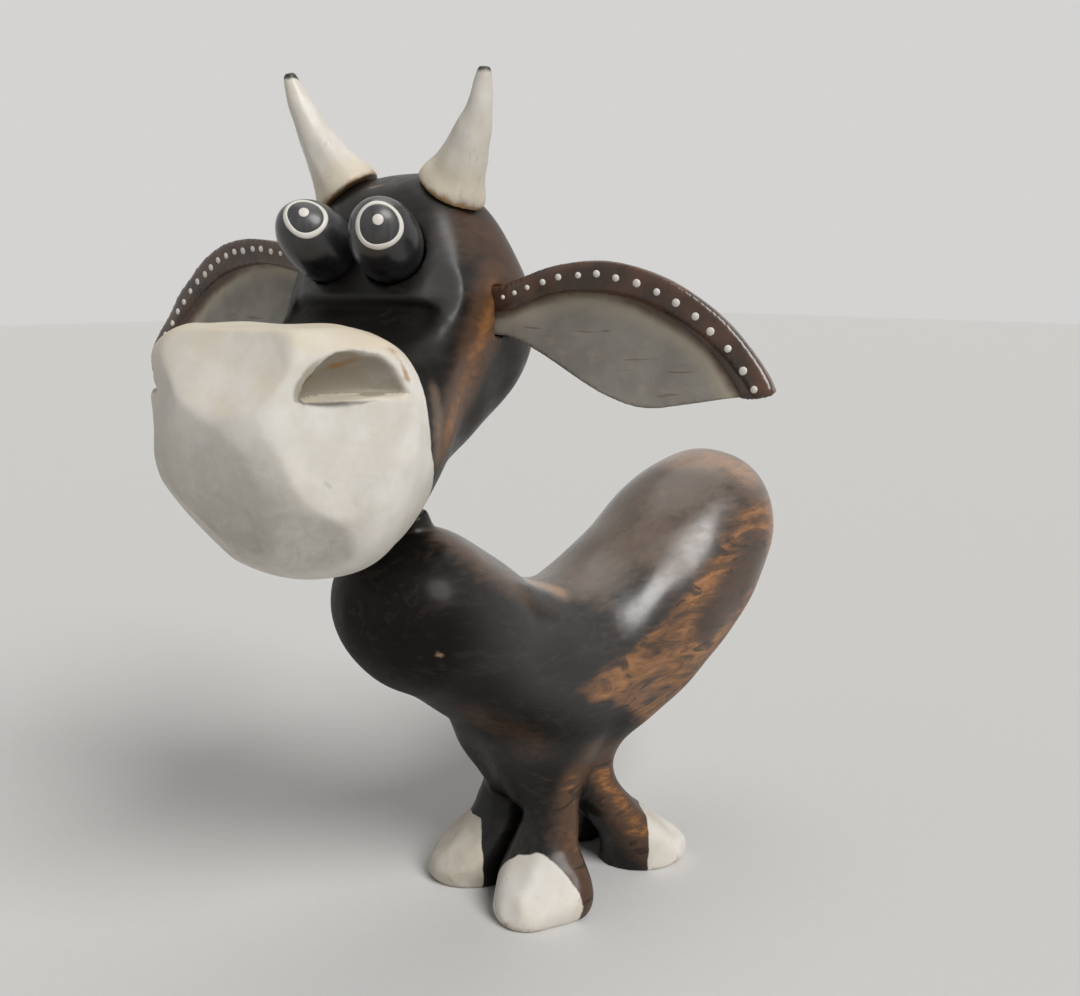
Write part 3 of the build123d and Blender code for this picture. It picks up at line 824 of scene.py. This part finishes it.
def make_head():
    piece = carved_copy("carved_head", "head", HEAD_VOXEL, HEAD_SOFTENING)
    mesh = piece.data
    seen = in_head(points_of(mesh))
    ahead = smooth_step(-seen[:, 1], MUZZLE_EDGE, MUZZLE_EDGE + 10 * MM)
    away = np.minimum(*[nostril_share(seen, side)[0] for side in SIDES.values()])
    ahead *= smooth_step(away, 1.05, 1.6)
    seen += (normals_of(mesh) @ head_axes.T) * (MUZZLE_FULLNESS * ahead)[:, None]
    for place, reach, push in HEAD_SWELLS:
        seen = swell(seen, scaled([place])[0], reach * MM, scaled([push])[0])
    left, back, height = seen.T
    lower = smooth_step(height, *HOLLOW_SHELF) * (1 - smooth_step(height, *HOLLOW_BROW))
    front = fall_off((back - HOLLOW_AHEAD) / HOLLOW_HALF_LENGTH)
    across = 1 - smooth_step(np.abs(left), *HOLLOW_SIDES)
    seen[:, 1] += HOLLOW_DEPTH * lower * front * across
    set_points(mesh, from_head(seen))
    for place, aim, depth, reach in MUZZLE_PLANES:
        normals = normals_of(mesh) @ head_axes.T
        seen = flatten(seen, normals, scaled([place])[0], aim, depth * MM, reach * MM)
        set_points(mesh, from_head(seen))
    points = points_of(mesh)
    points += normals_of(mesh) * (ripples(points, 20 * MM, 5) * 0.28 * MM)[:, None]
    set_points(mesh, points)
    seen = in_head(points)
    muzzle = -seen[:, 1] - MUZZLE_EDGE - MUZZLE_LEAN * (seen[:, 2] + 16 * MM)
    muzzle += MUZZLE_CHIN_LEAN * np.maximum(0, MUZZLE_CHIN - seen[:, 2])
    # Painted shade: the hollow under the eyes is painted darker wood and kept matt
    dark = smooth_step(seen[:, 2], -12 * MM, -7 * MM) * (1 - smooth_step(seen[:, 2], 4 * MM, 9 * MM))
    dark *= (1 - smooth_step(np.abs(seen[:, 0]), 20 * MM, 27 * MM)) * (1 - smooth_step(seen[:, 1], 6 * MM, 14 * MM))
    glow = 0.11 - 0.4 * dark
    pale = 0.6 * stroke(seen, scaled(CREST_SEAM), 1.4 * MM, 1.4 * MM)
    rim = np.zeros(len(points))
    nostril_shade = np.zeros(len(points))
    brown = np.zeros(len(points))
    for side in SIDES.values():
        glow = np.maximum(glow, 0.80 * stroke(seen, scaled(CHEEK_STRIP, side), 12 * MM, 9 * MM))
        pale = np.maximum(pale, 0.6 * stroke(seen, scaled(MUZZLE_FRINGE, side), 4.5 * MM, 5.5 * MM))
        rim = np.maximum(rim, stroke(seen, scaled(NOSTRIL_RIM, side), 2.4 * MM, 3.0 * MM))
        share, above = nostril_share(seen, side)
        nostril_shade = np.maximum(nostril_shade, (1 - smooth_step(share, 0.98, 1.12)) * (above > 0.4 * MM))
        brown = np.maximum(brown, 0.62 * stroke(seen, scaled(SKULL_SIDE, side), 13 * MM, 12 * MM))
        brown = np.maximum(brown, 0.95 * stroke(seen, scaled(CHEEK_STRIP, side), 14 * MM, 11 * MM))
    mark = np.zeros(len(points))
    for path in SCRATCHES:
        mark = np.maximum(mark, stroke(seen, scaled(path), 1.1 * MM, 1.1 * MM))
    hollow = hollowness(mesh, 12)
    below = smooth_step(-seen[:, 2], 24 * MM, 52 * MM)
    set_field(mesh, "paint", muzzle / MM)
    set_field(mesh, "glow", glow)
    set_field(mesh, "pale", pale)
    # Grime and painted shade: darker inside the nostrils, in dents and towards the bottom of the muzzle; the
    # scratches are real
    set_field(mesh, "grime_and_shade", 0.25 + 0.14 * hollow + 0.3 * below + 0.95 * nostril_shade + 0.8 * mark)
    rim = np.maximum(0.62 * rim, 0.75 * stroke(seen, scaled(FAR_RIM), 3 * MM, 3 * MM))
    set_field(mesh, "wear", 0.08 + rim)
    # Painted light and shade: faces turned up are tinted warmer, and the front below the ridge and the lower facets
    # are painted duller
    turned_up = smooth_step((normals_of(mesh) @ upward), 0.15, 0.75)
    facing = -normals_of(mesh) @ head_axes[1]
    lower = smooth_step(-seen[:, 2], 12 * MM, 46 * MM)
    set_field(mesh, "yellowing_and_light_tint", 0.15 + 0.55 * turned_up)
    front = smooth_step(facing, 0.55, 0.93) * smooth_step(-seen[:, 2], 15 * MM, 24 * MM)
    set_field(mesh, "dull", 0.20 * front + 0.48 * lower * smooth_step(facing, 0.1, 0.8))
    set_field(mesh, "matt", dark)
    set_field(mesh, "brown", brown)
    dress(piece, head_wood, "head", ["head"])
    return piece


# Horns

HORN_TIP = 1.6 * MM
HORN_FOOT = 4.5 * MM
# Lean of the whole horn at its tip, in the head's directions, and the spacing of its knife marks
HORN_LEANS = {"left": (-1.3, 0, -1.6), "right": (0, 0, 1.4)}
HORN_MARK_SPACING = 6.5 * MM
# The horns are this much slimmer just above their feet
HORN_WAIST = 0.10
HORN_LEVELS = 24


def make_horn(label, head_tree):
    piece = carved_copy(label + "_horn_carved", label + "_horn", HORN_VOXEL, HORN_SOFTENING)
    mesh = piece.data
    points = points_of(mesh)
    low, high = points[:, 2].min(), points[:, 2].max()
    rise = smooth_step(points[:, 2], low + 8 * MM, high)
    points += rise[:, None] * (np.array(HORN_LEANS[label]) * MM @ head_axes)
    heights = np.linspace(low, high, HORN_LEVELS)
    level = np.digitize(points[:, 2], heights)
    middle = [points[level == step].mean(axis=0) for step in np.unique(level)]
    middle = np.column_stack([np.interp(points[:, 2], np.array(middle)[:, 2], axis) for axis in np.array(middle).T])
    away = np.array([head_tree.find_nearest(Vector(point))[3] for point in points])
    waist = HORN_WAIST * smooth_step(away, 0.6 * MM, 6 * MM) * (1 - rise)
    points[:, :2] += (middle - points)[:, :2] * waist[:, None]
    set_points(mesh, points)
    marks = spaced_picks(points, points[:, 2] < high - 6 * MM, HORN_MARK_SPACING, 17)
    points = pare(points, normals_of(mesh), marks, 0.22 * MM, 7 * MM, 0.1 * MM)
    set_points(mesh, points)
    points += normals_of(mesh) * (ripples(points, 9 * MM, 23) * 0.15 * MM)[:, None]
    set_points(mesh, points)
    top = points[:, 2].max()
    away = np.array([head_tree.find_nearest(Vector(point))[3] for point in points])
    set_field(mesh, "paint", (top - points[:, 2] - HORN_TIP) / MM)
    # Grime and painted shade in the dents
    set_field(mesh, "grime_and_shade", 0.25 + 0.10 * hollowness(mesh, 8))
    set_field(mesh, "wear", 0.12 + 0.75 * fall_off(away / HORN_FOOT))
    set_field(mesh, "yellowing_and_light_tint", 0.32 + 0.65 * fall_off(away / (2.5 * HORN_FOOT)))
    # Painted shade: the horn is painted duller towards its foot
    set_field(mesh, "dull", 0.12 + 0.22 * fall_off((points[:, 2] - low) / (0.75 * (high - low))))
    dress(piece, horn_cream, "head", [label + "_horn"])
    return piece


# Ears


def dome_mesh(name, places, normals, radii, height, ring=14, rows=4):
    """Low domes of paint, each at a place on a surface."""
    points, faces = [], []
    for place, normal, radius in zip(places, normals, radii):
        normal = Vector(normal).normalized()
        side = normal.orthogonal().normalized()
        other = normal.cross(side)
        start = len(points)
        for row in range(rows):
            lean = math.pi / 2 * row / rows
            for spoke in range(ring):
                turn = 2 * math.pi * spoke / ring
                out = (side * math.cos(turn) + other * math.sin(turn)) * radius * math.cos(lean)
                points.append(Vector(place) + out + normal * height * (math.sin(lean) - 0.25))
        points.append(Vector(place) + normal * height * 0.75)
        peak = len(points) - 1
        for row in range(rows - 1):
            for spoke in range(ring):
                after = (spoke + 1) % ring
                low = start + row * ring
                faces.append((low + spoke, low + after, low + ring + after, low + ring + spoke))
        last = start + (rows - 1) * ring
        faces += [(last + spoke, last + (spoke + 1) % ring, peak) for spoke in range(ring)]
        faces.append(tuple(start + spoke for spoke in reversed(range(ring))))
    return mesh_of(name, points, faces)


def make_ear(label, side):
    piece = carved_copy(label + "_ear_carved", label + "_ear", EAR_VOXEL, EAR_SOFTENING)
    mesh = piece.data
    outward = np.array([side * math.cos(EAR_SWEEP), math.sin(EAR_SWEEP), 0.0])
    facing = np.array([side * math.sin(EAR_SWEEP), -math.cos(EAR_SWEEP), 0.0])
    seen = in_head(points_of(mesh))
    reach = seen @ outward
    root = reach.min()
    seen += ((EAR_STRETCHES[label] - 1) * (reach - root))[:, None] * outward
    points = from_head(seen)
    set_points(mesh, points)
    along = seen @ outward
    height = seen[:, 2]
    stations = np.linspace(along.min(), along.max(), EAR_STATIONS + 1)
    bins = np.clip(np.digitize(along, stations) - 1, 0, EAR_STATIONS - 1)
    tops = [height[bins == index].max() for index in range(EAR_STATIONS)]
    middles = (stations[1:] + stations[:-1]) / 2
    tip = (along.max(), height[np.argmax(along)])
    top_edge = np.array([*zip(middles, tops), tip])
    flat = np.column_stack([along, height])
    away, share = path_distance(flat, top_edge)
    front = smooth_step(in_head(points + normals_of(mesh)) @ facing - seen @ facing, -0.2, 0.3)
    rim_width = EAR_RIM * (1 + EAR_RIM_GROWTH * smooth_step(share, 0.2, 0.6))
    bead = np.clip(1 - (2 * away / rim_width - 1) ** 2, 0, 1) ** 0.5
    lift = EAR_RIM_RISE * bead * front + ripples(points, 12 * MM, 31) * 0.12 * MM
    points = points + normals_of(mesh) * lift[:, None]
    set_points(mesh, points)
    rim = np.where(front > 0.35, rim_width - away, 3 * MM)
    set_field(mesh, "rim", rim / MM)
    dress(piece, ear_finish, "head", [label + "_ear"])

    draw = np.random.default_rng(40 + side)
    tree = surface_tree(piece)
    runs = np.linalg.norm(np.diff(top_edge, axis=0), axis=1)
    lengths = np.concatenate([[0], np.cumsum(runs)])
    first = lengths[-1] * EAR_DOT_START_SHARE
    last = lengths[-1] * EAR_DOT_END_SHARE
    places, normals, radii = [], [], []
    for index in range(EAR_DOTS[label]):
        spot = (index / (EAR_DOTS[label] - 1)) ** 1.2
        length = first + (last - first) * spot + draw.uniform(-0.4, 0.4) * MM
        edge = np.array([np.interp(length, lengths, top_edge[:, axis]) for axis in (0, 1)])
        ahead = np.array([np.interp(length + 1 * MM, lengths, top_edge[:, axis]) for axis in (0, 1)])
        behind = np.array([np.interp(length - 1 * MM, lengths, top_edge[:, axis]) for axis in (0, 1)])
        run = (ahead - behind) / np.linalg.norm(ahead - behind)
        depth = EAR_DOT_INSET * (1 + EAR_DOT_GROWTH * float(smooth_step(spot, 0.2, 0.6)))
        inset = edge + np.array([run[1], -run[0]]) * (depth + draw.uniform(-0.25, 0.25) * MM)
        start = from_head(outward * inset[0] + np.array([0, 0, inset[1]]) + facing * 200 * MM)
        place, normal, _, _ = tree.ray_cast(Vector(start), Vector(-facing @ head_axes))
        if place is None:
            continue
        places.append(place)
        normals.append(normal)
        small, large = EAR_DOT_RADII
        radii.append((small + (large - small) * min(1, 3 * spot)) * draw.uniform(0.9, 1.1))
    dots = new_piece(label + "_ear_dots", dome_mesh(label + "_ear_dots", places, normals, radii, EAR_DOT_HEIGHT))
    dress(dots, dot_white, "head", [])
    return piece


# Eyes


def painted_ring(name, tree, centre, gaze, radius, seed, steps=72):
    """Raised ring of paint on an eye, a little uneven as by hand."""
    draw = np.random.default_rng(seed)
    starts = draw.uniform(0, 2 * math.pi, 4)
    aim = Vector(gaze)
    side = aim.orthogonal().normalized()
    other = aim.cross(side)
    section = [(-0.5, -0.6), (-0.42, 0.55), (-0.2, 0.95), (0.2, 0.95), (0.42, 0.55), (0.5, -0.6)]
    points, faces = [], []
    for step in range(steps):
        turn = 2 * math.pi * step / steps
        wobble = 1 + 0.025 * math.sin(2 * turn + starts[0]) + 0.02 * math.sin(3 * turn + starts[1])
        width = RING_WIDTH * (1 + 0.14 * math.sin(turn + starts[2]) + 0.08 * math.sin(4 * turn + starts[3]))
        out = side * math.cos(turn) + other * math.sin(turn)
        place, normal, _, _ = tree.ray_cast(centre + out * radius * wobble + aim * 30 * MM, -aim)
        across = (out - normal * out.dot(normal)).normalized()
        for over, high in section:
            points.append(place + across * over * width + normal * high * RING_HEIGHT)
    count = len(section)
    for step in range(steps):
        after = (step + 1) % steps
        for corner in range(count):
            following = (corner + 1) % count
            faces.append(
                (
                    step * count + corner,
                    after * count + corner,
                    after * count + following,
                    step * count + following,
                )
            )
    return new_piece(name, mesh_of(name, points, faces))


def painted_disc(name, tree, centre, gaze, radius, rows=8, ring=40):
    """Thin disc that follows an eye's surface, to carry the pupil's painted reflection."""
    aim = Vector(gaze)
    side = aim.orthogonal().normalized()
    other = aim.cross(side)
    points, faces = [], []
    place, normal, _, _ = tree.ray_cast(centre + aim * 30 * MM, -aim)
    points.append(place + normal * PUPIL_HEIGHT)
    for row in range(1, rows + 1):
        for spoke in range(ring):
            turn = 2 * math.pi * spoke / ring
            out = (side * math.cos(turn) + other * math.sin(turn)) * radius * row / rows
            place, normal, _, _ = tree.ray_cast(centre + out + aim * 30 * MM, -aim)
            points.append(place + normal * PUPIL_HEIGHT * (1 if row < rows else -1))
    for spoke in range(ring):
        after = (spoke + 1) % ring
        faces.append((0, 1 + spoke, 1 + after))
        for row in range(rows - 1):
            low = 1 + row * ring
            faces.append((low + spoke, low + ring + spoke, low + ring + after, low + after))
    return new_piece(name, mesh_of(name, points, faces))


def make_eye(label):
    piece = carved_copy(label + "_eye_carved", label + "_eye", EYE_VOXEL, EYE_SOFTENING)
    mesh = piece.data
    points = points_of(mesh)
    points += normals_of(mesh) * (ripples(points, 9 * MM, 51) * 0.08 * MM)[:, None]
    set_points(mesh, points)
    dress(piece, eye_black, "head", [label + "_eye"])
    tree = surface_tree(piece)
    low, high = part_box(label + "_eye")
    centre = (low + high) / 2
    gaze = Vector(np.array(GAZES[label]) @ head_axes).normalized()
    radius = RING_RADII[label]
    ring = painted_ring(label + "_eye_ring", tree, centre, gaze, radius, 60 + SIDES[label])
    dress(ring, dot_white, "head", [])
    # Pupil: a lighter grey disc, a painted reflection on the black eye
    pupil = painted_disc(label + "_eye_pupil_reflection", tree, centre, gaze, radius)
    dress(pupil, pupil_reflection, "head", [])
    spot = centre + Vector((0, 0, GLINT_LIFT)) + gaze * 30 * MM
    place, normal, _, _ = tree.ray_cast(spot, -gaze)
    glint_mesh = dome_mesh(label + "_eye_glint", [place], [normal], [GLINT_RADIUS], GLINT_HEIGHT, 24, 5)
    glint = new_piece(label + "_eye_glint", glint_mesh)
    dress(glint, dot_white, "head", [])


make_body()
head_tree = surface_tree(make_head())
for label, side in SIDES.items():
    make_horn(label, head_tree)
    make_ear(label, side)
    make_eye(label)

# Pin, cup and dowels keep their CAD shapes
for name, node in frame["nodes"].items():
    if name.endswith("_dowel"):
        node.data.materials.clear()
        node.data.materials.append(dowel_bamboo)
    elif name in ("neck_pin", "pivot_cup"):
        node.data.materials.clear()
        node.data.materials.append(pin_steel)

# Floor, light and camera
FLOOR_HALF = 4.0
floor_mesh = mesh_of(
    "floor",
    [(x * FLOOR_HALF, y * FLOOR_HALF, 0) for x, y in ((-1, -1), (1, -1), (1, 1), (-1, 1))],
    [(0, 1, 2, 3)],
)
floor = new_piece("floor", floor_mesh)
floor_shade = Shader("floor_matt")
floor_speckle = floor_shade.noise(floor_shade.place(), 3 * MM, 2)
floor_shade.set(Base_Color=floor_shade.mix(floor_speckle, (0.66, 0.655, 0.645), (0.69, 0.685, 0.675)))
floor_shade.set(Roughness=0.75, Specular_IOR_Level=0.2)
floor.data.materials.append(floor_shade.material)

world = bpy.data.worlds.new("studio")
bpy.context.scene.world = world
world.use_nodes = True
world_nodes = world.node_tree.nodes
world_links = world.node_tree.links
background = world_nodes["Background"]
rays = world_nodes.new("ShaderNodeLightPath")
level = world_nodes.new("ShaderNodeMapRange")
shown = rays.outputs["Is Camera Ray"]
for kind in ("Is Glossy Ray", "Is Transmission Ray"):
    either = world_nodes.new("ShaderNodeMath")
    either.operation = "MAXIMUM"
    world_links.new(shown, either.inputs[0])
    world_links.new(rays.outputs[kind], either.inputs[1])
    shown = either.outputs[0]
world_links.new(shown, level.inputs["Value"])
AMBIENT_LEVEL = 0.13
BACKDROP_LEVEL = 0.66
level.inputs["To Min"].default_value = AMBIENT_LEVEL
level.inputs["To Max"].default_value = BACKDROP_LEVEL
background.inputs["Color"].default_value = (1.0, 0.985, 0.965, 1)
world_links.new(level.outputs["Result"], background.inputs["Strength"])


def soft_light(name, aim, spread, level, colour):
    """Broad even light from one direction; the level is what a white surface that faces it sends back."""
    lamp = bpy.data.lights.new(name, "SUN")
    lamp.angle = math.radians(spread)
    lamp.energy = level * math.pi
    lamp.color = colour
    source = bpy.data.objects.new(name, lamp)
    source.rotation_euler = (-Vector(aim)).to_track_quat("-Z", "Y").to_euler()
    bpy.context.scene.collection.objects.link(source)


soft_light("key_light", (0.73, -0.02, 0.69), 30, 0.80, (1.0, 0.99, 0.975))
soft_light("fill_light", (-0.35, -0.90, 0.45), 60, 0.05, (0.97, 0.98, 1.0))
soft_light("top_light", (-0.15, 0.25, 1.0), 50, 0.20, (1.0, 0.98, 0.95))

lens = bpy.data.cameras.new("camera")
lens.lens = CAMERA_LENS
lens.sensor_width = CAMERA_SENSOR
lens.clip_start = 0.01
camera = bpy.data.objects.new("camera", lens)
camera.location = Vector(feet_middle) + CAMERA_PLACE
camera.rotation_euler = (math.radians(90) - CAMERA_PITCH, 0, CAMERA_HEADING)
bpy.context.scene.collection.objects.link(camera)
bpy.context.scene.camera = camera
bpy.context.scene.view_settings.view_transform = "Standard"
